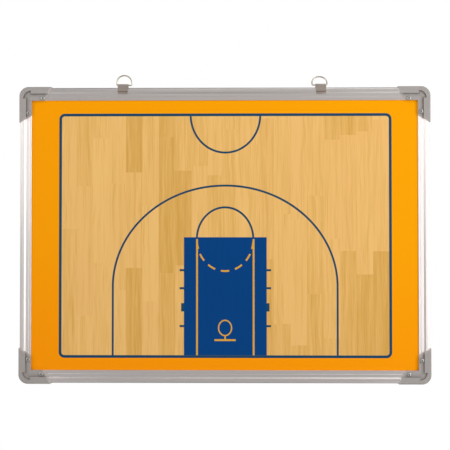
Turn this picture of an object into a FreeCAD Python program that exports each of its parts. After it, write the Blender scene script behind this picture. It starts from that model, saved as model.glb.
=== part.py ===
import FreeCAD, Part
import math
import os

# A wall-hung basketball tactics board. A printed, steel-faced panel sits in a frame of two
# level and two upright rails. Hidden keys and plastic caps hold the rails' corners, and the
# board hangs from two wire rings in sheet-metal clips that slide along the top rail.
# Millimetres, +X to the right, -Y towards the viewer, +Z up. The origin is on the wall plane,
# on the board's vertical centre line, where the wall hooks carry the upright rings.

# Face of the print that shows inside the rails
VIEW_WIDTH = 579.0
VIEW_HEIGHT = 403.8

# Layers of the panel, from the front, and its room in the rails' slot
FILM = 0.3
STEEL_SHEET = 0.4
CORE = 6.0
BACK_SHEET = 0.4
PANEL_PLAY = 0.1
PANEL_EDGE_GAP = 0.5

# Section of a rail: a raised hollow bar along the outer edge, a step down, and a lip over the
# panel, which is narrower on the upright rails
BAR_WIDTH = 6.6
STEP_RUN = 2.4
STEP_DROP = 2.0
LEVEL_LIP_WIDTH = 10.1
UPRIGHT_LIP_WIDTH = 8.0
LIP = 1.5
RAIL_WALL = 1.2
SLOT_PAST_STEP = 1.0
REAR_LIP = 1.2
REAR_LIP_REACH = 5.5
REAR_SPACE = 4.0
FRONT_ROUND = 3.4
REAR_ROUND = 1.0
STEP_ROUND = 0.6
LIP_ROUND = 0.5
GROOVE_FROM_STEP = 5.0
GROOVE_WIDTH = 1.2
GROOVE_DEPTH = 0.5
RAIL_END_GAP = 0.5

# Corner caps
CAP_WALL = 1.2
CAP_FIT = 0.1
CAP_LEG_ACROSS = 49.7
CAP_LEG_DOWN = 54.7
CAP_SLANT = 11.4
CAP_ROUND = 14.0
CAP_TIP_ROUND = 1.2
CAP_EDGE_ROUND = 2.0
CAP_REAR_ROUND = 0.8
CAP_RAMP = 2.6
CAP_END = 0.5
FLANGE_OVERHANG = 0.2
FLANGE_ROUND = 1.5
POCKET_ROUND = 11.4
POCKET_WALL = 6.0

# Corner keys
KEY_LEG = 46.0
KEY_FIT = 0.1
KEY_END_CHAMFER = 1.5

# Cap screws, placed from the tip of the cap's leg and from the foot of its bumper. They are
# driven by eye, so each drifts inward, across and down: first the level leg's, then the upright leg's.
SCREW_SHANK = 2.9
SCREW_LENGTH = 8.5
SCREW_TIP = 1.8
SCREW_HEAD = 6.8
SCREW_HEAD_HEIGHT = 2.0
SCREW_HEAD_ROUND = 1.7
SCREW_FIT = 0.1
RECESS_SPAN = 3.2
RECESS_WIDTH = 0.8
RECESS_DEPTH = 1.2
SCREW_FROM_TIP_ACROSS = 16.2
SCREW_FROM_TIP_DOWN = 17.6
SCREW_FROM_BUMPER_ACROSS = 5.7
SCREW_FROM_BUMPER_DOWN = 3.7
SCREW_DRIFT = {
    "top_left": ((1.9, 0.9), (-0.1, 2.4)),
    "top_right": ((-1.8, 1.9), (-0.1, 0.3)),
    "bottom_left": ((0.5, -1.3), (0.3, -1.1)),
    "bottom_right": ((-0.5, -1.3), (-0.1, -1.8)),
}

# Hanger clips, each placed by its square outer edge; the inner edge slants towards the sheet's ends
CLIP_SHEET = 0.7
CLIP_WIDTH = 16.2
CLIP_TAPER = 1.6
CLIP_FIT = 0.2
CLIP_BEND = 0.6
CLIP_TAIL = 3.0
CLIP_HOOK = 2.0
CREASE_WIDTH = 0.9
CREASE_DEPTH = 0.3
LEFT_CLIP = -160.0
RIGHT_CLIP = 152.2

# Hanger rings
RING_WIRE = 1.9
RING_WIDTH = 24.2
RING_ARM = 3.7
RING_CORNER = 1.8
RING_BAR_HEIGHT = 3.3
EYE_FIT = 0.3
RING_FROM_CLIP_EDGE = 9.8
RIGHT_RING_LEAN = 24.0

# Places that follow from the sizes above. Depths run forward from the rear face of the rails,
# and insets run inward from the rails' outer edges.
STEP_FOOT = BAR_WIDTH + STEP_RUN
LEVEL_FACE = STEP_FOOT + LEVEL_LIP_WIDTH
UPRIGHT_FACE = STEP_FOOT + UPRIGHT_LIP_WIDTH
FRAME_WIDTH = VIEW_WIDTH + 2 * UPRIGHT_FACE
FRAME_HEIGHT = VIEW_HEIGHT + 2 * LEVEL_FACE
SLOT_INSET = STEP_FOOT + SLOT_PAST_STEP
PANEL_INSET = SLOT_INSET + PANEL_EDGE_GAP
CHAMBER_INSET = SLOT_INSET - RAIL_WALL

PANEL_THICKNESS = FILM + STEEL_SHEET + CORE + BACK_SHEET
REAR_LIP_FRONT = REAR_SPACE + REAR_LIP
PANEL_BACK = REAR_LIP_FRONT + PANEL_PLAY
PANEL_FRONT = PANEL_BACK + PANEL_THICKNESS
LIP_BACK = PANEL_FRONT + PANEL_PLAY
LIP_FRONT = LIP_BACK + LIP
RAIL_DEPTH = LIP_FRONT + STEP_DROP

CAP_PROUD = CAP_WALL + CAP_FIT
LEVEL_FLANGE = LEVEL_FACE + FLANGE_OVERHANG
UPRIGHT_FLANGE = UPRIGHT_FACE + FLANGE_OVERHANG
FLANGE_FRONT = LIP_FRONT + CAP_PROUD
POCKET_INSET = POCKET_WALL - CAP_PROUD + POCKET_ROUND
RAIL_END_INSET = max(LEVEL_FACE, UPRIGHT_FACE, POCKET_INSET) + RAIL_END_GAP

RING_RADIUS = (RING_WIDTH - RING_WIRE) / 2
EYE_RADIUS = RING_WIRE / 2 + EYE_FIT
RING_BAR_DEPTH = RAIL_DEPTH + CLIP_FIT - EYE_RADIUS
HOOK_HEIGHT = RING_BAR_HEIGHT + RING_ARM + RING_RADIUS - RING_WIRE / 2
BOARD_CENTRE = -HOOK_HEIGHT - FRAME_HEIGHT / 2

ALONG_X = FreeCAD.Vector(1, 0, 0)
FORWARD = FreeCAD.Vector(0, -1, 0)
UP = FreeCAD.Vector(0, 0, 1)


def place(x, depth, z):
    """A point by its depth in front of the rails' rear face, which stands off the wall on the caps."""
    return FreeCAD.Vector(x, -CAP_PROUD - depth, z)


def in_section(inset, depth):
    """A point of a cross-section of the top rail, by its inset from the outer edge."""
    return place(0, depth, FRAME_HEIGHT / 2 - inset)


def in_plan(across, down):
    """A point of the top left corner seen from the front, by its insets from both outer edges."""
    return place(across - FRAME_WIDTH / 2, 0, FRAME_HEIGHT / 2 - down)


def outline(corners, where):
    """A flat face with the given corners, each (a, b, rounding), set in space by where(a, b)."""
    starts = []
    ends = []
    middles = []
    for k, (a, b, rounding) in enumerate(corners):
        here = FreeCAD.Vector(a, b, 0)
        back = (FreeCAD.Vector(*corners[k - 1][:2], 0) - here).normalize()
        on = (FreeCAD.Vector(*corners[(k + 1) % len(corners)][:2], 0) - here).normalize()
        half_turn = back.getAngle(on) / 2
        run = rounding / math.tan(half_turn)
        starts.append(here + back * run)
        ends.append(here + on * run)
        inward = (back + on).normalize() if rounding else FreeCAD.Vector()
        middles.append(here + inward * (rounding / math.sin(half_turn) - rounding))
    edges = []
    for k, corner in enumerate(corners):
        if corner[2]:
            arc = [where(p.x, p.y) for p in (starts[k], middles[k], ends[k])]
            edges.append(Part.Arc(*arc).toShape())
        line = [where(p.x, p.y) for p in (ends[k], starts[(k + 1) % len(corners)])]
        if line[0].distanceToPoint(line[1]) > Part.Precision.confusion():
            edges.append(Part.LineSegment(*line).toShape())
    return Part.Face(Part.Wire(edges))


def strip(path, sheet):
    """Corners of a bent strip: the path of one face, and the other face to the left of it."""
    points = [FreeCAD.Vector(a, b, 0) for a, b, bend in path]
    ways = [(q - p).normalize() for p, q in zip(points, points[1:])]
    sides = [FreeCAD.Vector(-way.y, way.x, 0) for way in ways]
    far = []
    for k, (a, b, bend) in enumerate(path):
        before = sides[max(k - 1, 0)]
        after = sides[min(k, len(sides) - 1)]
        corner = points[k] + (before + after) * (sheet / (1 + before.dot(after)))
        turn = before.cross(after).z
        far.append((corner.x, corner.y, bend - math.copysign(sheet, turn) if bend else 0))
    return list(path) + far[::-1]


def four_corners(shape):
    """The top left shape with its mirror images at the other three corners."""
    right = shape.mirror(FreeCAD.Vector(), ALONG_X)
    return {
        "top_left": shape,
        "top_right": right,
        "bottom_left": shape.mirror(FreeCAD.Vector(), UP),
        "bottom_right": right.mirror(FreeCAD.Vector(), UP),
    }


def at_screws(shape):
    """Copies of a shape that stands at the origin's depth, one for each screw of the board."""
    level = CAP_LEG_ACROSS - CAP_PROUD - SCREW_FROM_TIP_ACROSS, STEP_FOOT + SCREW_FROM_BUMPER_ACROSS
    upright = STEP_FOOT + SCREW_FROM_BUMPER_DOWN, CAP_LEG_DOWN - CAP_PROUD - SCREW_FROM_TIP_DOWN
    copies = []
    for corner, drifts in SCREW_DRIFT.items():
        for (across, down), (drift_across, drift_down) in zip((level, upright), drifts):
            copy = shape.translated(in_plan(across + drift_across, down + drift_down))
            copies.append(four_corners(copy)[corner])
    return copies


def screw_holes():
    """Round holes for the screws, from the front of the flange to just past the tips."""
    reach = SCREW_LENGTH + SCREW_FIT
    hole = Part.makeCylinder(SCREW_SHANK / 2 + SCREW_FIT, reach, FORWARD * (FLANGE_FRONT - reach), FORWARD)
    return Part.Compound(at_screws(hole))


def rail_outline(clearance):
    """Front and outer line of a rail's section, which the caps follow at a clearance."""
    far = LEVEL_FACE * 2
    return [
        (-clearance, -clearance, REAR_ROUND),
        (far, -clearance, 0),
        (far, LIP_FRONT + clearance, 0),
        (STEP_FOOT + clearance, LIP_FRONT + clearance, 0),
        (BAR_WIDTH + clearance, RAIL_DEPTH + clearance, 0),
        (-clearance, RAIL_DEPTH + clearance, FRONT_ROUND),
    ]


def rail(length, face, reach, turn):
    """A rail cut square to a length, with a width of face, its outer edge at a reach from the centre."""
    rear_reach = SLOT_INSET + REAR_LIP_REACH
    groove = STEP_FOOT + GROOVE_FROM_STEP
    section = outline(
        [
            (0, 0, REAR_ROUND),
            (SLOT_INSET, 0, REAR_ROUND),
            (SLOT_INSET, REAR_SPACE, 0),
            (rear_reach, REAR_SPACE, 0),
            (rear_reach, REAR_LIP_FRONT, 0),
            (SLOT_INSET, REAR_LIP_FRONT, 0),
            (SLOT_INSET, LIP_BACK, 0),
            (face, LIP_BACK, 0),
            (face, LIP_FRONT, LIP_ROUND),
            (groove + GROOVE_WIDTH / 2, LIP_FRONT, 0),
            (groove, LIP_FRONT - GROOVE_DEPTH, 0),
            (groove - GROOVE_WIDTH / 2, LIP_FRONT, 0),
            (STEP_FOOT, LIP_FRONT, 0),
            (BAR_WIDTH, RAIL_DEPTH, STEP_ROUND),
            (0, RAIL_DEPTH, FRONT_ROUND),
        ],
        in_section,
    )
    chamber_front, bar_inset = chamber_corner()
    chamber = outline(
        [
            (RAIL_WALL, RAIL_WALL, 0),
            (CHAMBER_INSET, RAIL_WALL, 0),
            (CHAMBER_INSET, chamber_front, 0),
            (bar_inset, RAIL_DEPTH - RAIL_WALL, 0),
            (RAIL_WALL, RAIL_DEPTH - RAIL_WALL, FRONT_ROUND - RAIL_WALL),
        ],
        in_section,
    )
    solid = section.cut(chamber).Faces[0].extrude(ALONG_X * length)
    solid.translate(FreeCAD.Vector(-length / 2, 0, reach - FRAME_HEIGHT / 2))
    solid.rotate(FreeCAD.Vector(), FreeCAD.Vector(0, 1, 0), turn)
    return solid.cut(screw_holes())


def chamber_corner():
    """Where the chamber's wall under the step meets its inner side and its front."""
    slope = math.hypot(STEP_RUN, STEP_DROP)
    side = RAIL_DEPTH - (RAIL_WALL * slope + (CHAMBER_INSET - BAR_WIDTH) * STEP_DROP) / STEP_RUN
    front = BAR_WIDTH - RAIL_WALL * (slope - STEP_RUN) / STEP_DROP
    return side, front


def rails():
    across = FRAME_WIDTH - 2 * RAIL_END_INSET
    down = FRAME_HEIGHT - 2 * RAIL_END_INSET
    return {
        "top_rail": rail(across, LEVEL_FACE, FRAME_HEIGHT / 2, 0),
        "right_rail": rail(down, UPRIGHT_FACE, FRAME_WIDTH / 2, 90),
        "bottom_rail": rail(across, LEVEL_FACE, FRAME_HEIGHT / 2, 180),
        "left_rail": rail(down, UPRIGHT_FACE, FRAME_WIDTH / 2, 270),
    }


def standing(corners, back, front):
    """A solid of the given plan at the top left corner, between two depths."""
    solid = outline(corners, in_plan).extrude(FORWARD * (front - back))
    solid.translate(FORWARD * back)
    return solid


def end_ramp(first, second, seat):
    """A wedge that slopes the front of a cap's end, between two points of its plan, to a thin edge."""
    start = in_plan(*first)
    along = in_plan(*second) - start
    inward = along.cross(FORWARD).normalize()
    rise = CAP_PROUD - CAP_END
    low = seat + CAP_END - rise
    high = seat + CAP_END + 2 * rise
    wedge = outline(
        [(-CAP_RAMP, low, 0), (2 * CAP_RAMP, high, 0), (-CAP_RAMP, high, 0)],
        lambda inset, depth: start - along + inward * inset + FORWARD * depth,
    )
    return wedge.extrude(along * 3)


def corner_cap():
    """The top left cap: a moulded shell round both rail ends, with a bumper and a screw flange."""
    edge = -CAP_PROUD
    tip_across = CAP_LEG_ACROSS - CAP_PROUD
    tip_down = CAP_LEG_DOWN - CAP_PROUD
    front = RAIL_DEPTH + CAP_PROUD
    plan = [
        (edge, edge, CAP_ROUND),
        (tip_across, edge, CAP_TIP_ROUND),
        (tip_across - CAP_SLANT, LEVEL_FLANGE, CAP_TIP_ROUND),
        (UPRIGHT_FLANGE, LEVEL_FLANGE, FLANGE_ROUND),
        (UPRIGHT_FLANGE, tip_down - CAP_SLANT, CAP_TIP_ROUND),
        (edge, tip_down, CAP_TIP_ROUND),
    ]
    body = standing(plan, edge, front)
    body = body.makeFillet(CAP_EDGE_ROUND, outer_edges(body, front))
    body = body.makeFillet(CAP_REAR_ROUND, outer_edges(body, edge))

    far = max(tip_across, tip_down) + CAP_WALL
    hollow_round = CAP_ROUND - CAP_WALL
    pocket = POCKET_INSET - POCKET_ROUND
    recess = [(STEP_FOOT, STEP_FOOT, 0), (far, STEP_FOOT, 0), (far, far, 0), (STEP_FOOT, far, 0)]
    rounded_pocket = [
        (pocket, pocket, POCKET_ROUND),
        (POCKET_INSET, pocket, 0),
        (POCKET_INSET, POCKET_INSET, 0),
        (pocket, POCKET_INSET, 0),
    ]
    corner_hollow = [
        (-CAP_FIT, -CAP_FIT, hollow_round),
        (RAIL_END_INSET, -CAP_FIT, 0),
        (RAIL_END_INSET, RAIL_END_INSET, 0),
        (-CAP_FIT, RAIL_END_INSET, 0),
    ]
    rear_opening = [
        (SLOT_INSET, SLOT_INSET, FLANGE_ROUND),
        (far, SLOT_INSET, 0),
        (far, far, 0),
        (SLOT_INSET, far, 0),
    ]
    rail_room = outline(rail_outline(CAP_FIT), in_section).extrude(ALONG_X * far)
    room_across = rail_room.copy()
    room_across.translate(FreeCAD.Vector(RAIL_END_INSET - CAP_FIT - FRAME_WIDTH / 2, 0, 0))
    room_down = rail_room.copy()
    room_down.translate(FreeCAD.Vector(-far, 0, (FRAME_WIDTH - FRAME_HEIGHT) / 2))
    room_down.rotate(FreeCAD.Vector(), FreeCAD.Vector(0, 1, 0), 270)
    room_down.translate(UP * (FRAME_HEIGHT / 2 - RAIL_END_INSET + CAP_FIT))
    over_flange = standing(recess, LIP_FRONT, front + CAP_WALL)
    ramps = []
    for ends in ((plan[1][:2], plan[2][:2]), (plan[4][:2], plan[5][:2])):
        ramps.append(end_ramp(*ends, RAIL_DEPTH))
        ramps.append(end_ramp(*ends, LIP_FRONT).common(over_flange))
    cuts = ramps + [
        standing(recess, FLANGE_FRONT, front + CAP_WALL),
        standing(rounded_pocket, FLANGE_FRONT, front + CAP_WALL),
        standing(corner_hollow, -CAP_FIT, LIP_FRONT + CAP_FIT),
        standing(rear_opening, edge - CAP_WALL, LIP_FRONT),
        room_across,
        room_down,
    ]
    return body.cut(cuts)


def outer_edges(body, depth):
    """The edges round the two outer sides of a cap at its front or rear face."""
    level = place(0, depth, 0).y
    outer = FreeCAD.Vector(-FRAME_WIDTH / 2 - CAP_PROUD, level, FRAME_HEIGHT / 2 + CAP_PROUD)
    chosen = []
    for edge in body.Edges:
        flat = all(abs(v.Y - level) < Part.Precision.confusion() for v in edge.Vertexes)
        middle = edge.CenterOfMass - outer
        if flat and min(abs(middle.x), abs(middle.z)) < CAP_ROUND / 2:
            chosen.append(edge)
    return chosen


def corner_key():
    """The top left key: an L that fills the ends of both rails' chambers."""
    near = RAIL_WALL + KEY_FIT
    wide = CHAMBER_INSET - KEY_FIT
    bend = CAP_ROUND - CAP_PROUD - near
    plan = [
        (near, near, bend),
        (KEY_LEG - KEY_END_CHAMFER, near, 0),
        (KEY_LEG, near + KEY_END_CHAMFER, 0),
        (KEY_LEG, wide - KEY_END_CHAMFER, 0),
        (KEY_LEG - KEY_END_CHAMFER, wide, 0),
        (wide, wide, KEY_END_CHAMFER),
        (wide, KEY_LEG - KEY_END_CHAMFER, 0),
        (wide - KEY_END_CHAMFER, KEY_LEG, 0),
        (near + KEY_END_CHAMFER, KEY_LEG, 0),
        (near, KEY_LEG - KEY_END_CHAMFER, 0),
    ]
    return standing(plan, near, chamber_corner()[0] - KEY_FIT)


def cap_screws():
    """All the cap screws: pan heads with a cross recess, on the flanges of the caps."""
    profile = [
        (0, -SCREW_LENGTH, 0),
        (SCREW_SHANK / 2, SCREW_TIP - SCREW_LENGTH, 0),
        (SCREW_SHANK / 2, 0, 0),
        (SCREW_HEAD / 2, 0, 0),
        (SCREW_HEAD / 2, SCREW_HEAD_HEIGHT, SCREW_HEAD_ROUND),
        (0, SCREW_HEAD_HEIGHT, 0),
    ]
    face = outline(profile, lambda radius, out: FreeCAD.Vector(radius, -out, 0))
    screw = face.revolve(FreeCAD.Vector(), FORWARD, 360)
    slot = Part.makeBox(RECESS_SPAN, RECESS_DEPTH, RECESS_WIDTH)
    slot.translate(FreeCAD.Vector(-RECESS_SPAN / 2, -SCREW_HEAD_HEIGHT, -RECESS_WIDTH / 2))
    across = slot.copy()
    across.rotate(FreeCAD.Vector(), FORWARD, 90)
    screw = screw.cut([slot, across])
    screw.translate(FORWARD * FLANGE_FRONT)
    return Part.Compound(at_screws(screw))


def panel():
    """The panel's layers, back to front, each drilled where a screw reaches it."""
    width = FRAME_WIDTH - 2 * PANEL_INSET
    height = FRAME_HEIGHT - 2 * PANEL_INSET
    layers = {}
    depth = PANEL_BACK
    for name, thickness in (
        ("back_sheet", BACK_SHEET),
        ("core_board", CORE),
        ("steel_sheet", STEEL_SHEET),
        ("print_film", FILM),
    ):
        plate = Part.makeBox(width, thickness, height)
        plate.translate(place(-width / 2, depth + thickness, -height / 2))
        layers[name] = plate.cut(screw_holes())
        depth += thickness
    return layers


def hanger_clip():
    """A clip of bent sheet: tail over the rail's step, front leg, eye, top run and rear hook.

    Its square edge stands at x = 0, as on the left clip.
    """
    slope = math.hypot(STEP_RUN, STEP_DROP)
    front = RAIL_DEPTH + CLIP_FIT
    crease = -(BAR_WIDTH + CLIP_FIT * (slope - STEP_RUN) / STEP_DROP)
    tail_depth = front - CLIP_TAIL * STEP_DROP / slope
    tail_height = crease - CLIP_TAIL * STEP_RUN / slope
    eye_top = RING_BAR_HEIGHT + EYE_RADIUS
    eye_back = front - 2 * EYE_RADIUS
    hook_height = -(SLOT_INSET + CLIP_FIT)
    path = [
        (tail_depth, tail_height, 0),
        (front, crease, CLIP_BEND),
        (front, eye_top, EYE_RADIUS),
        (eye_back, eye_top, EYE_RADIUS),
        (eye_back, CLIP_FIT, CLIP_BEND + CLIP_SHEET),
        (-CLIP_FIT, CLIP_FIT, CLIP_BEND),
        (-CLIP_FIT, hook_height, CLIP_BEND),
        (CLIP_HOOK, hook_height, 0),
    ]

    def in_side_view(depth, height):
        return place(0, depth, FRAME_HEIGHT / 2 + height)

    corners = strip([(-depth, height, bend) for depth, height, bend in path], CLIP_SHEET)
    clip = outline(corners, lambda a, b: in_side_view(-a, b)).extrude(ALONG_X * CLIP_WIDTH)
    score = Part.makeBox(CLIP_WIDTH, CREASE_DEPTH, CREASE_WIDTH)
    score.translate(in_side_view(front + CLIP_SHEET, crease))
    lowest = hook_height - CLIP_SHEET
    slant = outline(
        [(CLIP_WIDTH, eye_top, 0), (CLIP_WIDTH - CLIP_TAPER, lowest, 0), (CLIP_WIDTH, lowest, 0)],
        lambda across, height: place(across, -CAP_PROUD, FRAME_HEIGHT / 2 + height),
    )
    return clip.cut([score, slant.extrude(FORWARD * (front + CAP_PROUD + CLIP_SHEET))])


def hanger_ring(x, lean):
    """A wire D-ring on its bar in a clip's eye, leaning back by an angle from upright."""
    half_bar = RING_RADIUS - RING_CORNER
    arch = UP * RING_ARM
    right = FreeCAD.Vector(half_bar, 0, RING_CORNER)
    left = FreeCAD.Vector(-half_bar, 0, RING_CORNER)

    def bend(centre, start, turn):
        way = FORWARD.cross(start - centre)
        disc = Part.Face(Part.Wire(Part.makeCircle(RING_WIRE / 2, start, way)))
        return disc.revolve(centre, FORWARD, turn)

    def run(start, way, length):
        return Part.makeCylinder(RING_WIRE / 2, length, start, way)

    ring = run(left - UP * RING_CORNER, ALONG_X, 2 * half_bar)
    ring = ring.fuse(
        [
            bend(right, right - UP * RING_CORNER, 90),
            run(right + ALONG_X * RING_CORNER, UP, RING_ARM - RING_CORNER),
            bend(arch, arch + ALONG_X * RING_RADIUS, 180),
            run(left - ALONG_X * RING_CORNER, UP, RING_ARM - RING_CORNER),
            bend(left, left - ALONG_X * RING_CORNER, 90),
        ]
    )
    ring = ring.removeSplitter()
    ring.rotate(FreeCAD.Vector(), ALONG_X, -lean)
    ring.translate(place(x, RING_BAR_DEPTH, FRAME_HEIGHT / 2 + RING_BAR_HEIGHT))
    return ring


def board():
    nodes = rails()
    for corner, cap in four_corners(corner_cap()).items():
        nodes["cap_" + corner] = cap.cut(screw_holes())
    nodes.update({"key_" + corner: key for corner, key in four_corners(corner_key()).items()})
    nodes["cap_screws"] = cap_screws()
    nodes.update(panel())
    clip = hanger_clip()
    nodes["left_clip"] = clip.translated(ALONG_X * LEFT_CLIP)
    nodes["right_clip"] = clip.mirror(FreeCAD.Vector(), ALONG_X).translated(ALONG_X * RIGHT_CLIP)
    nodes["left_ring"] = hanger_ring(LEFT_CLIP + RING_FROM_CLIP_EDGE, 0)
    nodes["right_ring"] = hanger_ring(RIGHT_CLIP - RING_FROM_CLIP_EDGE, RIGHT_RING_LEAN)
    return nodes


os.makedirs("parts", exist_ok=True)
for name, shape in board().items():
    shape.translate(UP * BOARD_CENTRE)
    shape.exportStep("parts/" + name + ".step")
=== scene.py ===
import math

import bmesh
import bpy
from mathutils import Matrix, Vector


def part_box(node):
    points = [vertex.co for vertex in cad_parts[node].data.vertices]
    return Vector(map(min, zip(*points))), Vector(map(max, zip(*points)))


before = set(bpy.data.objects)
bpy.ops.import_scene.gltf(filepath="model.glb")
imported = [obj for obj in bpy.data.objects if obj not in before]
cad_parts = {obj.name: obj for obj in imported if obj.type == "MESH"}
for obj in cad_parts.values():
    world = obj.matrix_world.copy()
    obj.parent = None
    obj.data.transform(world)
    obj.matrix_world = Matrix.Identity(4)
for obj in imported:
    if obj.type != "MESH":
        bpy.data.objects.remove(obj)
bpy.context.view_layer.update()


# Back sheet. Thin hot-dip galvanised steel, cut to the panel's size and glued to the back of the
# core, so that the panel stays flat. The zinc freezes into pale, overlapping crystal flowers.
class Value:
    """An output socket of a finish's nodes. Arithmetic on it adds Math nodes."""

    def __init__(self, finish, socket):
        self.finish = finish
        self.socket = socket

    def maths(self, operation, *inputs, clamped=False):
        settings = {"operation": operation, "use_clamp": clamped}
        return self.finish.node("Math", settings, dict(enumerate(inputs)))

    def __add__(self, other):
        return self.maths("ADD", self, other)

    def __sub__(self, other):
        return self.maths("SUBTRACT", self, other)

    def __rsub__(self, other):
        return self.maths("SUBTRACT", other, self)

    def __mul__(self, other):
        return self.maths("MULTIPLY", self, other)

    def __truediv__(self, other):
        return self.maths("DIVIDE", self, other)

    def __abs__(self):
        return self.maths("ABSOLUTE", self)

    __radd__ = __add__
    __rmul__ = __mul__

    def floor(self):
        return self.maths("FLOOR", self)

    def root(self):
        return self.maths("SQRT", self)

    def least(self, other):
        return self.maths("MINIMUM", self, other)

    def most(self, other):
        return self.maths("MAXIMUM", self, other)

    def clipped(self):
        return self.maths("ADD", self, 0.0, clamped=True)


class Finish:
    """The nodes of one material, or of the world."""

    def __init__(self, owner):
        owner.use_nodes = True
        self.owner = owner
        self.tree = owner.node_tree
        self.tree.nodes.clear()

    def node(self, kind, settings, inputs, output=0):
        made = self.tree.nodes.new("ShaderNode" + kind)
        for name, setting in settings.items():
            setattr(made, name, setting)
        for name, given in inputs.items():
            if isinstance(given, Value):
                self.tree.links.new(given.socket, made.inputs[name])
            else:
                made.inputs[name].default_value = given
        return Value(self, made.outputs[output]) if made.outputs else None

    def vector(self, operation, *inputs):
        return self.node("VectorMath", {"operation": operation}, dict(enumerate(inputs)))

    def place(self):
        """The spot on the piece, in millimetres of the CAD frame."""
        return self.vector("MULTIPLY", self.node("TexCoord", {}, {}, "Object"), (1000.0,) * 3)

    def parts(self, vector):
        return [self.node("SeparateXYZ", {}, {0: vector}, axis) for axis in "XYZ"]

    def noise(self, spot, sizes, detail=2.0):
        """Cloudy noise whose blotches have these sizes along X, Y and Z, in millimetres."""
        scaled = self.vector("DIVIDE", spot, sizes)
        return self.node("TexNoise", {}, {"Vector": scaled, "Scale": 1.0, "Detail": detail})

    def mix(self, share, first, second):
        """A colour between two, by a share from 0 to 1."""
        inputs = {"Factor": share, 6: first, 7: second}
        return self.node("Mix", {"data_type": "RGBA"}, inputs, 2)

    def bump(self, height, depth):
        """A normal from a height of 0 to 1, which stands for a depth in millimetres."""
        return self.node("Bump", {}, {"Height": height, "Distance": depth / 1000})

    def surface(self, **sockets):
        """Ends the finish in a Principled shader with these sockets, named in words with underscores."""
        named = {name.replace("_", " "): given for name, given in sockets.items()}
        self.node("OutputMaterial", {}, {"Surface": self.node("BsdfPrincipled", {}, named)})


def paint(red, green, blue):
    """A shader colour from a colour as seen on a screen, each part from 0 to 255."""
    parts = [part / 255 for part in (red, green, blue)]
    linear = [((p + 0.055) / 1.055) ** 2.4 if p > 0.04045 else p / 12.92 for p in parts]
    return (*linear, 1.0)


def dress(finish, *nodes):
    """Puts a finish on CAD nodes."""
    for node in nodes:
        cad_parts[node].material_slots[0].material = finish.owner


FLOWER = 9.0
RIPPLE = 2.0
RAGGED = 2.5
SMEAR = (3.0, 3.0, 30.0)
FLOWER_DEPTH = 0.02
ZINC_DULL = paint(176, 180, 183)
ZINC_BRIGHT = paint(212, 214, 215)
galvanised = Finish(bpy.data.materials.new("galvanised_sheet"))
spot = galvanised.place()
ripple = galvanised.node("TexNoise", {}, {"Vector": spot, "Scale": 1 / RIPPLE}, "Color")
ragged = galvanised.vector("ADD", spot, galvanised.vector("MULTIPLY", ripple, (RAGGED,) * 3))
flower = galvanised.node("TexVoronoi", {}, {"Vector": ragged, "Scale": 1 / FLOWER}, "Color")
tone = galvanised.parts(flower)
smear = galvanised.noise(spot, SMEAR)
galvanised.surface(
    Base_Color=galvanised.mix(tone[0] * 0.7 + smear * 0.3, ZINC_DULL, ZINC_BRIGHT),
    Metallic=1.0,
    Roughness=tone[1] * 0.16 + smear * 0.1 + 0.3,
    Normal=galvanised.bump(tone[2] * 0.5 + smear, FLOWER_DEPTH),
)
dress(galvanised, "back_sheet")


# Core board. Kraft paper honeycomb between the two steel skins, which gives the panel its thickness
# for little weight. Its cut edges lie in the rails' slots.
CELL = 8.0
CELL_WALL = 1.0
CELL_UNEVEN = 0.3
FIBRE = (0.6, 0.6, 4.0)
PAPER_DEPTH = 0.05
PAPER_PALE = paint(190, 158, 112)
PAPER_DARK = paint(140, 108, 70)
kraft = Finish(bpy.data.materials.new("kraft_core"))
spot = kraft.place()
wall = kraft.node(
    "TexVoronoi", {"feature": "DISTANCE_TO_EDGE"},
    {"Vector": spot, "Scale": 1 / CELL, "Randomness": CELL_UNEVEN},
)
fibre = kraft.noise(spot, FIBRE, 4.0)
open_cell = (wall * (CELL / CELL_WALL)).clipped()
kraft.surface(
    Base_Color=kraft.mix(open_cell * 0.6 + fibre * 0.4, PAPER_PALE, PAPER_DARK),
    Roughness=fibre * 0.1 + 0.82,
    Normal=kraft.bump(fibre - open_cell, PAPER_DEPTH),
)
dress(kraft, "core_board")


# Steel sheet. Thin cold-rolled sheet glued to the front of the core, which takes the board's magnets.
# Rolling leaves fine lines along its length, and the mill's oil a few dull clouds.
ROLLED_LINE = (60.0, 0.5, 0.5)
OIL_CLOUD = (40.0, 40.0, 40.0)
ROLLED_DEPTH = 0.006
STEEL_DULL = paint(168, 170, 172)
STEEL_BRIGHT = paint(204, 205, 206)
rolled = Finish(bpy.data.materials.new("rolled_steel"))
spot = rolled.place()
lines = rolled.noise(spot, ROLLED_LINE, 3.0)
oil = rolled.noise(spot, OIL_CLOUD)
rolled.surface(
    Base_Color=rolled.mix(lines * 0.6 + oil * 0.4, STEEL_DULL, STEEL_BRIGHT),
    Metallic=1.0,
    Roughness=lines * 0.12 + oil * 0.1 + 0.24,
    Normal=rolled.bump(lines, ROLLED_DEPTH),
)
dress(rolled, "steel_sheet")


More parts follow.
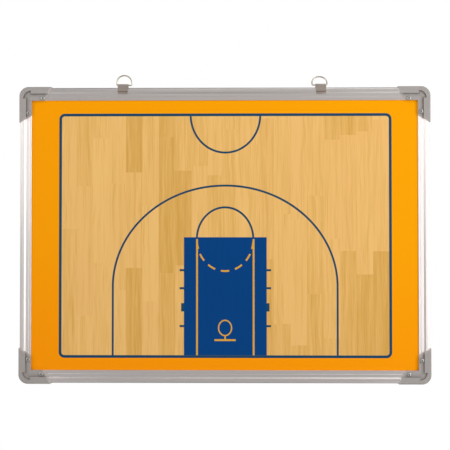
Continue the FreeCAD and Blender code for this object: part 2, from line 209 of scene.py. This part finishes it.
# Print film. Dry-erase film with the half court printed on its back, laminated to the steel sheet.
# The court is drawn in millimetres from its own middle, a little off the film's middle.
COURT = (1.0, -0.7)
HALF_WIDTH = 247.1
HALF_HEIGHT = 181.0
EDGE_LINE = 4.1
EDGE_ROUND = 6.5
LINE = 3.0
CENTRE_CIRCLE = (52.2, 56.7)
CENTRE_SHIFT = 0.6
ARC = (168.1, 151.5)
ARC_HEIGHT = -76.8
KEY_HALF_WIDTH = 61.9
KEY_SHIFT = 0.35
KEY_TOP = -2.7
THROW_CIRCLE = (42.25, 47.7)
THROW_HEIGHT = -5.6
LANE = 42.3
LANE_TOP = -5.4
LANE_LINE = 2.7
DASH_PITCH = math.radians(25.9)
DASH_SHARE = 0.575
DASH_EDGE = 10.0
DASH_LINE = 2.6
TICKS = (-52.0, -78.9, -135.5)
TICK_END = 68.4
TICK_LINE = 3.2
BLOCK = -107.45
BLOCK_END = 66.1
BLOCK_HEIGHT = 12.4
BOARD_HEIGHT = -156.4
BOARD_HALF_WIDTH = 15.9
BOARD_LINE = 2.7
HOOP = (9.7, 11.35)
HOOP_HEIGHT = -138.2
HOOP_LINE = 1.9
STEM = 2.2
INK_EDGE = 0.25
PLANK = 24.67
PLANK_SHIFT = 0.8
ROW_STAGGER = 300.0
PLANK_SHORT = 130.0
PLANK_SPREAD = 90.0
ROW_DRAW = 23.1
PLANK_DRAW = 31.0
GRAIN_JUMP = (90.0, 70.0)
GRAIN_SWAY = 7.0
SWAY = (35.0, 35.0, 60.0)
BROAD_GRAIN = (5.0, 5.0, 140.0)
FINE_GRAIN = (1.1, 1.1, 45.0)
PORES = (1.6, 1.6, 90.0)
PORE_LIMIT = 0.58
PORE_EDGE = 5.0
WIPED = (120.0, 120.0, 25.0)
PEEL = (2.5, 2.5, 2.5)
PEEL_DEPTH = 0.004
# Painted light on the orange: the share of the lit colour, and how it falls off downwards and to the left.
ORANGE_LIGHT_SHARE = 0.63
ORANGE_LIGHT_FALL = 0.54
ORANGE_LIGHT_TILT = 0.14
# The orange in the painted light, and in the painted shade.
ORANGE_LIT = paint(247, 165, 1)
ORANGE_SHADED = paint(253, 151, 1)
COURT_BLUE = paint(2, 62, 124)
COURT_BLUE_PALE = paint(3, 66, 128)
LINE_BLUE = paint(28, 70, 98)
AMBER = paint(222, 165, 52)
WOOD_PALE = paint(238, 190, 115)
WOOD_DEEP = paint(213, 162, 79)
WOOD_ROSY = paint(236, 186, 113)

film_low, film_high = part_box("print_film")
film_middle = (film_low + film_high) * 500
printed = Finish(bpy.data.materials.new("court_print"))
spot = printed.place()
x, _, z = printed.parts(spot)
across = x - (film_middle.x + COURT[0])
up = z - (film_middle.z + COURT[1])
aside = abs(across)
in_key = across - KEY_SHIFT


def inside(distance):
    """Ink where a distance is below zero, with a slightly soft edge."""
    return (0.5 - distance / INK_EDGE).clipped()


def stroke(distance, width):
    """A line of ink where a distance is near zero."""
    return inside(abs(distance) - width / 2)


def slab(right, top, half_width, half_height):
    """Distance to a rectangle, from its middle."""
    return (abs(right) - half_width).most(abs(top) - half_height)


def oval(right, top, radii):
    """Distance to an ellipse, from its middle."""
    wide, high = radii
    reach = ((right / wide) * (right / wide) + (top / high) * (top / high)).root()
    steep = ((right / wide ** 2) * (right / wide ** 2) + (top / high ** 2) * (top / high ** 2)).root()
    return (reach - 1.0) * reach / steep.most(1e-6)


def any_of(first, *others):
    """Ink where any of several marks has ink."""
    for other in others:
        first = first.most(other)
    return first


def luck(seed):
    """Three chance shares from 0 to 1, the same wherever the seed is the same."""
    drawn = printed.node("TexWhiteNoise", {"noise_dimensions": "2D"}, {"Vector": seed}, "Color")
    return printed.parts(drawn)


# The wood picture under the lines: planks of one width and of uneven lengths, each with its own
# tone and its own run of grain.
row = ((across + PLANK_SHIFT) / PLANK).floor()
row_luck = luck(printed.node("CombineXYZ", {}, {"X": row, "Y": ROW_DRAW}))
along = (up + row_luck[0] * ROW_STAGGER) / (row_luck[1] * PLANK_SPREAD + PLANK_SHORT)
plank_luck = luck(printed.node("CombineXYZ", {}, {"X": row + PLANK_DRAW, "Y": along.floor()}))
grain_spot = printed.node("CombineXYZ", {}, {
    "X": across + plank_luck[1] * GRAIN_JUMP[0], "Y": plank_luck[2] * GRAIN_JUMP[1], "Z": up,
})
sway = printed.noise(grain_spot, SWAY)
bent = printed.vector("ADD", grain_spot, printed.node("CombineXYZ", {}, {"X": sway * GRAIN_SWAY}))
broad = printed.noise(bent, BROAD_GRAIN, 1.0)
fine = printed.noise(bent, FINE_GRAIN, 3.0)
pores = ((printed.noise(bent, PORES, 2.0) - PORE_LIMIT) * PORE_EDGE).clipped()
deep = plank_luck[0] * plank_luck[0] * 0.8 + broad * 1.1 + fine * 1.3 + pores * 0.6 - 1.2
wood = printed.mix(deep.clipped(), printed.mix(plank_luck[2], WOOD_PALE, WOOD_ROSY), WOOD_DEEP)

# The court's lines, from the ground up: orange margin, wood, blue lines, blue key, amber marks. The
# orange carries painted light: paler towards the right, deeper towards the left and below the middle.
corner_across = (aside - (HALF_WIDTH - EDGE_ROUND)).most(0.0)
corner_up = (abs(up) - (HALF_HEIGHT - EDGE_ROUND)).most(0.0)
rounded = (corner_across * corner_across + corner_up * corner_up).root() - EDGE_ROUND
edge = rounded.most(slab(across, up, HALF_WIDTH, HALF_HEIGHT))
within = inside(edge)
blue_lines = any_of(
    stroke(edge, EDGE_LINE),
    stroke(oval(across - CENTRE_SHIFT, up - HALF_HEIGHT, CENTRE_CIRCLE), LINE) * within,
    stroke(oval(across, (up - ARC_HEIGHT).most(0.0), ARC), LINE) * within,
    stroke(oval(across, (up - THROW_HEIGHT).most(0.0), THROW_CIRCLE), LINE) * inside(KEY_TOP - up),
    inside(slab(in_key, up - BLOCK, BLOCK_END, BLOCK_HEIGHT / 2)),
    *(inside(slab(in_key, up - tick, TICK_END, TICK_LINE / 2)) for tick in TICKS),
)
key = inside(abs(in_key) - KEY_HALF_WIDTH) * inside(up - KEY_TOP) * within
turn = across.maths("ARCTAN2", across, THROW_HEIGHT - up) / DASH_PITCH
dash = inside(abs(turn - (turn + 0.5).floor()) * DASH_EDGE - DASH_SHARE / 2 * DASH_EDGE)
in_lane = inside(up - LANE_TOP) * inside(edge + EDGE_LINE / 2)
stem_top = HOOP_HEIGHT - HOOP[1]
stem_middle = (stem_top + BOARD_HEIGHT) / 2
amber_marks = any_of(
    stroke(abs(in_key) - LANE, LANE_LINE) * in_lane,
    stroke(oval(across, up - THROW_HEIGHT, THROW_CIRCLE), DASH_LINE) * dash * in_lane,
    stroke(oval(across, up - HOOP_HEIGHT, HOOP), HOOP_LINE),
    inside(slab(across, up - BOARD_HEIGHT, BOARD_HALF_WIDTH, BOARD_LINE / 2)),
    inside(slab(across, up - stem_middle, STEM / 2, stem_top - stem_middle)),
)
# Painted light: the orange is lit towards the right and shaded towards the left and below the court's
# middle.
orange_light = (
    ORANGE_LIGHT_SHARE + up.least(0.0) / HALF_HEIGHT * ORANGE_LIGHT_FALL + across / HALF_WIDTH * ORANGE_LIGHT_TILT
).clipped()
orange = printed.mix(orange_light, ORANGE_SHADED, ORANGE_LIT)
court = printed.mix(within, orange, wood)
court = printed.mix(blue_lines, court, LINE_BLUE)
key_ground = key * inside(edge + EDGE_LINE / 2)
court = printed.mix(key_ground, court, printed.mix(broad, COURT_BLUE, COURT_BLUE_PALE))
court = printed.mix(amber_marks, court, AMBER)
wiped = printed.noise(spot, WIPED, 4.0)
peel = printed.noise(spot, PEEL)
printed.surface(
    Base_Color=court,
    Roughness=wiped * 0.08 + 0.1,
    Specular_IOR_Level=0.08,
    Normal=printed.bump(peel + wiped * 2.0, PEEL_DEPTH),
)
dress(printed, "print_film")


# Rails. Two aluminium extrusions that differ only in the lip, cut square and satin anodised: hollow bar
# outside, step, grooved lip over the panel. The die and the etching leave fine lines along each rail,
# so it gleams across its length.
ENDLESS = 1e5
DIE_LINE = 0.35
DIE_BAND = 2.2
DIE_DEPTH = 0.0005
BLOOM = (35.0, 35.0, 35.0)
ANODISED_DULL = paint(227, 220, 217)
ANODISED_BRIGHT = paint(244, 237, 234)


def anodised(name, line, turn, stretch):
    """The rails' finish, with its lines along one axis, and its gleam stretched across them."""
    finish = Finish(bpy.data.materials.new(name))
    spot = finish.place()
    die = finish.noise(spot, [ENDLESS if axis == line else DIE_LINE for axis in range(3)], 4.0)
    band = finish.noise(spot, [ENDLESS if axis == line else DIE_BAND for axis in range(3)], 1.0)
    bloom = finish.noise(spot, BLOOM, 3.0)
    finish.surface(
        Base_Color=finish.mix(die * 0.5 + band * 0.4 + bloom * 0.1, ANODISED_DULL, ANODISED_BRIGHT),
        Metallic=1.0,
        Roughness=die * 0.04 + bloom * 0.02 + 0.37,
        Anisotropic=stretch,
        Anisotropic_Rotation=turn,
        Normal=finish.bump(die, DIE_DEPTH),
    )
    return finish


dress(anodised("anodised_across", 0, 0.25, 0.8), "top_rail", "bottom_rail")
dress(anodised("anodised_down", 2, 0.0, 0.95), "left_rail", "right_rail")


# Corner keys. Black glass-filled nylon angles, pushed into the rails' hollow ends to hold the frame
# square before the caps go on.
GLASS_FIBRE = (0.3, 0.3, 2.0)
GLASS_DEPTH = 0.01
NYLON_BLACK = paint(24, 24, 25)
NYLON_GREY = paint(52, 52, 53)
nylon = Finish(bpy.data.materials.new("black_nylon"))
spot = nylon.place()
glass_fibre = nylon.noise(spot, GLASS_FIBRE, 3.0)
nylon.surface(
    Base_Color=nylon.mix(glass_fibre, NYLON_BLACK, NYLON_GREY),
    Roughness=glass_fibre * 0.2 + 0.42,
    Normal=nylon.bump(glass_fibre, GLASS_DEPTH),
)
dress(nylon, "key_top_left", "key_top_right", "key_bottom_left", "key_bottom_right")


# Corner caps. Warm grey moulded plastic shells over the rail ends: a raised bumper outside, and a
# flange round the print's corner that takes two screws. The mould is spark-eroded to a fine grain.
# Painted shade darkens the flange at the bumper's foot, and the slanted ends carry a painted highlight.
CAP_EDGE = 2.0
LEG_ACROSS = 49.7
LEG_DOWN = 54.7
SLANT_ACROSS = 0.553
SLANT_DOWN = 0.616
# Width of the painted highlight along the slanted ends.
END_HIGHLIGHT_WIDTH = 3.6
# Widths and strengths of the painted shade on the flange at the bumper's foot.
FOOT_SHADE_WIDTH = 1.8
FOOT_SHADE_LOW = 0.3
FOOT_SHADE_HIGH = 0.1
SHADE_WIDTH = 6.5
SHADE = 0.34
LOW_LEDGE = -200.0
HIGH_LEDGE = 200.0
LEDGE_FADE = 20.0
BUMPER_FOOT = 10.3
POCKET_MIDDLE = 17.4
POCKET_RADIUS = 11.4
FLANGE_FRONT = -16.6
PITS = (0.35, 0.35, 0.35)
PIT_DEPTH = 0.02
FLOW = (18.0, 18.0, 18.0)
RUBS = (4.0, 4.0, 4.0)
CAP_GREY = paint(151, 144, 140)
CAP_PALE = paint(175, 168, 164)
# Colour of the painted highlight on the slanted ends.
CAP_END_HIGHLIGHT = paint(196, 185, 180)
# Colour of the painted shade at the bumper's foot.
FOOT_SHADE_GREY = paint(84, 76, 72)
cap_plastic = Finish(bpy.data.materials.new("cap_plastic"))
spot = cap_plastic.place()
x, depth, z = cap_plastic.parts(spot)
cap_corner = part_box("cap_top_right")[1] * 1000 - film_middle
from_side = cap_corner.x - abs(x)
from_end = cap_corner.z - abs(z - film_middle.z)
inset = from_side.least(from_end)
pocket_x = POCKET_MIDDLE - from_side
pocket_z = POCKET_MIDDLE - from_end
from_pocket = POCKET_RADIUS - (pocket_x * pocket_x + pocket_z * pocket_z).root()
pocket = from_pocket.least(pocket_x.least(pocket_z))
from_bumper = (inset - BUMPER_FOOT).most(pocket)
pits = cap_plastic.noise(spot, PITS, 3.0)
flow = cap_plastic.noise(spot, FLOW, 3.0)
rubbed = (1.0 - inset / CAP_EDGE).clipped() * cap_plastic.noise(spot, RUBS, 4.0)
# Painted shade on the flange at the bumper's foot: a narrow dark line, left off the bottom legs and darkest
# along the top legs, and a wider soft shade all round.
above_low, above_high = (
    ((z - film_middle.z - ledge) / LEDGE_FADE).clipped() for ledge in (LOW_LEDGE, HIGH_LEDGE)
)
foot_shade_strength = above_low * FOOT_SHADE_LOW + above_high * FOOT_SHADE_HIGH
on_flange = (depth - (FLANGE_FRONT - 1.0)).clipped()
foot_shade_line = (1.0 - from_bumper / FOOT_SHADE_WIDTH).clipped() * foot_shade_strength
painted_foot_shade = (foot_shade_line + (1.0 - from_bumper / SHADE_WIDTH).clipped() * SHADE) * on_flange
# Painted highlight: the cap is painted paler along its slanted ends, as if they caught the light.
to_side_end = LEG_ACROSS - from_end * SLANT_ACROSS - from_side
to_end = to_side_end.least(LEG_DOWN - from_side * SLANT_DOWN - from_end)
end_highlight = (1.0 - to_end / END_HIGHLIGHT_WIDTH).clipped()
moulded = cap_plastic.mix(pits * 0.35 + flow * 0.4 + rubbed * 0.5, CAP_GREY, CAP_PALE)
cap_plastic.surface(
    Base_Color=cap_plastic.mix(end_highlight * 0.8, cap_plastic.mix(painted_foot_shade, moulded, FOOT_SHADE_GREY), CAP_END_HIGHLIGHT),
    Roughness=pits * 0.14 + flow * 0.1 - rubbed * 0.1 + 0.42,
    Normal=cap_plastic.bump(pits, PIT_DEPTH),
)
dress(cap_plastic, "cap_top_left", "cap_top_right", "cap_bottom_left", "cap_bottom_right")


# Cap screws. Bright zinc-plated pan heads with a cross recess, two driven through each cap into the
# rail's lip, by eye, so each has its own place from the film's middle. The heads carry turning rings,
# and the middle of each head, round the recess, is painted darker.
SCREW_SPOTS = (
    (-272.4, 205.4), (-293.9, 182.8), (276.1, 204.4), (293.9, 184.9),
    (-273.8, -207.6), (-293.5, -186.3), (274.8, -207.6), (293.9, -187.0),
)
RECESS = 1.8
SCREW_HEAD = 6.8
RECESS_EDGE = 6.0
HEAD_TOP = -18.5
HEAD_EDGE = 8.0
TURNING_RATE = 30.0
STAIN = (1.2, 1.2, 1.2)
TURNED_DEPTH = 0.008
PLATE_DULL = paint(170, 172, 173)
PLATE_WARM = paint(196, 196, 192)
HEAD_MIDDLE_DARK = paint(128, 127, 124)
zinc = Finish(bpy.data.materials.new("bright_zinc"))
spot = zinc.place()
x, depth, z = zinc.parts(spot)
on_face = zinc.node("CombineXYZ", {}, {"X": x, "Z": z - film_middle.z})
radius = SCREW_HEAD
for right, top in SCREW_SPOTS:
    ends = {0: on_face, 1: (right, 0.0, top)}
    from_axis = zinc.node("VectorMath", {"operation": "DISTANCE"}, ends, "Value")
    radius = from_axis.least(radius)
ring_mark = radius.maths("SINE", radius * TURNING_RATE) * 0.5 + 0.5
stain = zinc.noise(spot, STAIN, 3.0)
# The middle of each head, round the recess, is painted darker.
dark_middle = ((RECESS - radius) * RECESS_EDGE).clipped() * ((depth - HEAD_TOP) * HEAD_EDGE).clipped()
zinc.surface(
    Base_Color=zinc.mix(dark_middle, zinc.mix(stain, PLATE_DULL, PLATE_WARM), HEAD_MIDDLE_DARK),
    Metallic=1.0,
    Roughness=stain * 0.12 + dark_middle * 0.2 + 0.4,
    Normal=zinc.bump(ring_mark + stain, TURNED_DEPTH),
)
dress(zinc, "cap_screws")


# Hanger clips. Nickel-plated steel sheet, folded round the ring's bar and over the top rail, with a
# score where its tail bends over the rail's step, painted darker as shade. The plating is satin, with fine
# rolling lines.
SCORE = -23.4
SCORE_WIDTH = 1.4
SCORE_EDGE = 4.0
CLIP_FACE = -17.3
FACE_EDGE = 5.0
ROLLING = (25.0, 0.5, 0.5)
CLOUD = (6.0, 6.0, 6.0)
ROLLING_DEPTH = 0.002
SATIN_DULL = paint(184, 170, 160)
SATIN_BRIGHT = paint(216, 202, 192)
# Colour of the painted shade in the score.
SCORE_SHADE = paint(142, 130, 120)
clip_nickel = Finish(bpy.data.materials.new("satin_nickel"))
spot = clip_nickel.place()
_, depth, z = clip_nickel.parts(spot)
rolling = clip_nickel.noise(spot, ROLLING, 3.0)
cloud = clip_nickel.noise(spot, CLOUD, 3.0)
# Painted shade: a darker band along the score on the clip's front.
in_score = ((SCORE_WIDTH / 2 - abs(z - SCORE)) * SCORE_EDGE).clipped()
score_shade = in_score * ((CLIP_FACE - depth) * FACE_EDGE).clipped()
plated = clip_nickel.mix(rolling * 0.6 + cloud * 0.4, SATIN_DULL, SATIN_BRIGHT)
clip_nickel.surface(
    Base_Color=clip_nickel.mix(score_shade, plated, SCORE_SHADE),
    Metallic=1.0,
    Roughness=rolling * 0.06 + cloud * 0.08 + 0.38,
    Anisotropic=0.8,
    Anisotropic_Rotation=0.25,
    Normal=clip_nickel.bump(rolling, ROLLING_DEPTH),
)
dress(clip_nickel, "left_clip", "right_clip")


# Hanger rings. Nickel-plated steel wire, bent to a D with its ends meeting inside the clip's eye,
# where its straight bar turns. Handling has dulled the plating in patches.
DULL = (2.0, 2.0, 2.0)
DRAWN = (0.25, 0.25, 0.25)
DRAWN_DEPTH = 0.008
NICKEL_DULL = paint(182, 170, 152)
NICKEL_BRIGHT = paint(222, 210, 190)
ring_nickel = Finish(bpy.data.materials.new("bright_nickel"))
spot = ring_nickel.place()
dull = ring_nickel.noise(spot, DULL, 4.0)
drawn = ring_nickel.noise(spot, DRAWN, 2.0)
ring_nickel.surface(
    Base_Color=ring_nickel.mix(dull, NICKEL_DULL, NICKEL_BRIGHT),
    Metallic=1.0,
    Roughness=dull * 0.16 + drawn * 0.06 + 0.3,
    Normal=ring_nickel.bump(drawn + dull, DRAWN_DEPTH),
)
dress(ring_nickel, "left_ring", "right_ring")


# Floor. A plain pale disc as far below the board as a room's floor, out of the picture, which sends
# a little light up to it.
FLOOR_HEIGHT = -1.9
FLOOR_RADIUS = 1.5
FLOOR_FACETS = 128
DUST = (60.0, 60.0, 60.0)
FLOOR_GREY = paint(212, 212, 211)
FLOOR_PALE = paint(218, 218, 217)
floor_mesh = bpy.data.meshes.new("floor")
disc = bmesh.new()
bmesh.ops.create_circle(disc, cap_ends=True, radius=FLOOR_RADIUS, segments=FLOOR_FACETS)
disc.to_mesh(floor_mesh)
disc.free()
floor = bpy.data.objects.new("floor", floor_mesh)
floor.location.z = FLOOR_HEIGHT
bpy.context.scene.collection.objects.link(floor)

pale = Finish(bpy.data.materials.new("pale_floor"))
dust = pale.noise(pale.place(), DUST, 4.0)
pale.surface(
    Base_Color=pale.mix(dust, FLOOR_GREY, FLOOR_PALE),
    Roughness=dust * 0.1 + 0.7,
)
floor_mesh.materials.append(pale.owner)


# Light. A white backdrop behind the board, which metal shows too. In front of it an even grey room, with
# wide soft boxes at both sides for the rails' gleam, a key at each upper side, a strip above the board
# and two weak fills from low down.
CEILING = 0.2
HORIZON = 0.47
GROUND = 0.58
SKYLINE = 0.08
SKYLINE_FADE = 0.16
BACKDROP_RISE = 0.35
BACKDROP_FADE = 0.2
BACKDROP_EDGE = 3.0
SOFT_BOXES = (
    ("right_box", (1.25, -1.1, -0.2), (1.1, 0.9), 9.6),
    ("left_box", (-1.25, -1.1, 0.3), (1.1, 1.0), 5.4),
    ("right_key", (1.5, -0.9, 0.55), (0.8, 0.8), 7.4),
    ("left_key", (-1.5, -0.9, 0.55), (0.8, 0.8), 5.3),
    ("top_box", (0.2, -0.9, 1.0), (1.2, 0.4), 3.3),
    ("left_fill", (-1.25, -0.9, -1.2), (0.9, 0.9), 1.3),
    ("right_fill", (1.25, -0.9, -1.2), (0.9, 0.9), 1.6),
)
world = bpy.data.worlds.new("studio")
bpy.context.scene.world = world
studio = Finish(world)
_, away, rise = studio.parts(studio.node("TexCoord", {}, {}, "Generated"))
behind = (away * BACKDROP_EDGE + 0.5).clipped()
level = ((BACKDROP_RISE - abs(rise)) / BACKDROP_FADE).clipped()
above = ((rise - SKYLINE) / SKYLINE_FADE).clipped()
below = ((-SKYLINE - rise) / SKYLINE_FADE).clipped() * (1.0 - behind)
room = above * (CEILING - HORIZON) + below * (GROUND - HORIZON) + HORIZON
camera_ray, glossy_ray, through_ray = (
    studio.node("LightPath", {}, {}, "Is " + kind + " Ray") for kind in ("Camera", "Glossy", "Transmission")
)
white = camera_ray.most(glossy_ray.most(through_ray) * behind * level)
backdrop = studio.node("Background", {}, {
    "Color": (1.0, 1.0, 1.0, 1.0), "Strength": room + (1.0 - room) * white,
})
studio.node("OutputWorld", {}, {"Surface": backdrop})
for name, spot, size, power in SOFT_BOXES:
    lamp = bpy.data.lights.new(name, "AREA")
    lamp.shape = "RECTANGLE"
    lamp.size, lamp.size_y = size
    lamp.energy = power
    box = bpy.data.objects.new(name, lamp)
    bpy.context.scene.collection.objects.link(box)
    box.location = spot
    box.rotation_euler = (film_middle / 1000 - box.location).to_track_quat("-Z", "Y").to_euler()


# Camera. It stands level before the board, a little right of and below its middle, and frames it
# with a short telephoto lens.
CAMERA_SPOT = (0.0216, -1.520, -0.2519)
CAMERA_RISE = 1.089
CAMERA_TURN = 0.787
FOCUS_PIXELS = 1006.4
PICTURE_PIXELS = 450
SENSOR_WIDTH = 36.0
camera_data = bpy.data.cameras.new("camera")
camera_data.sensor_width = SENSOR_WIDTH
camera_data.lens = SENSOR_WIDTH * FOCUS_PIXELS / PICTURE_PIXELS
camera = bpy.data.objects.new("camera", camera_data)
camera.location = CAMERA_SPOT
camera.rotation_euler = (math.radians(90 + CAMERA_RISE), 0, math.radians(CAMERA_TURN))
bpy.context.scene.collection.objects.link(camera)
bpy.context.scene.camera = camera
bpy.context.scene.view_settings.view_transform = "Standard"
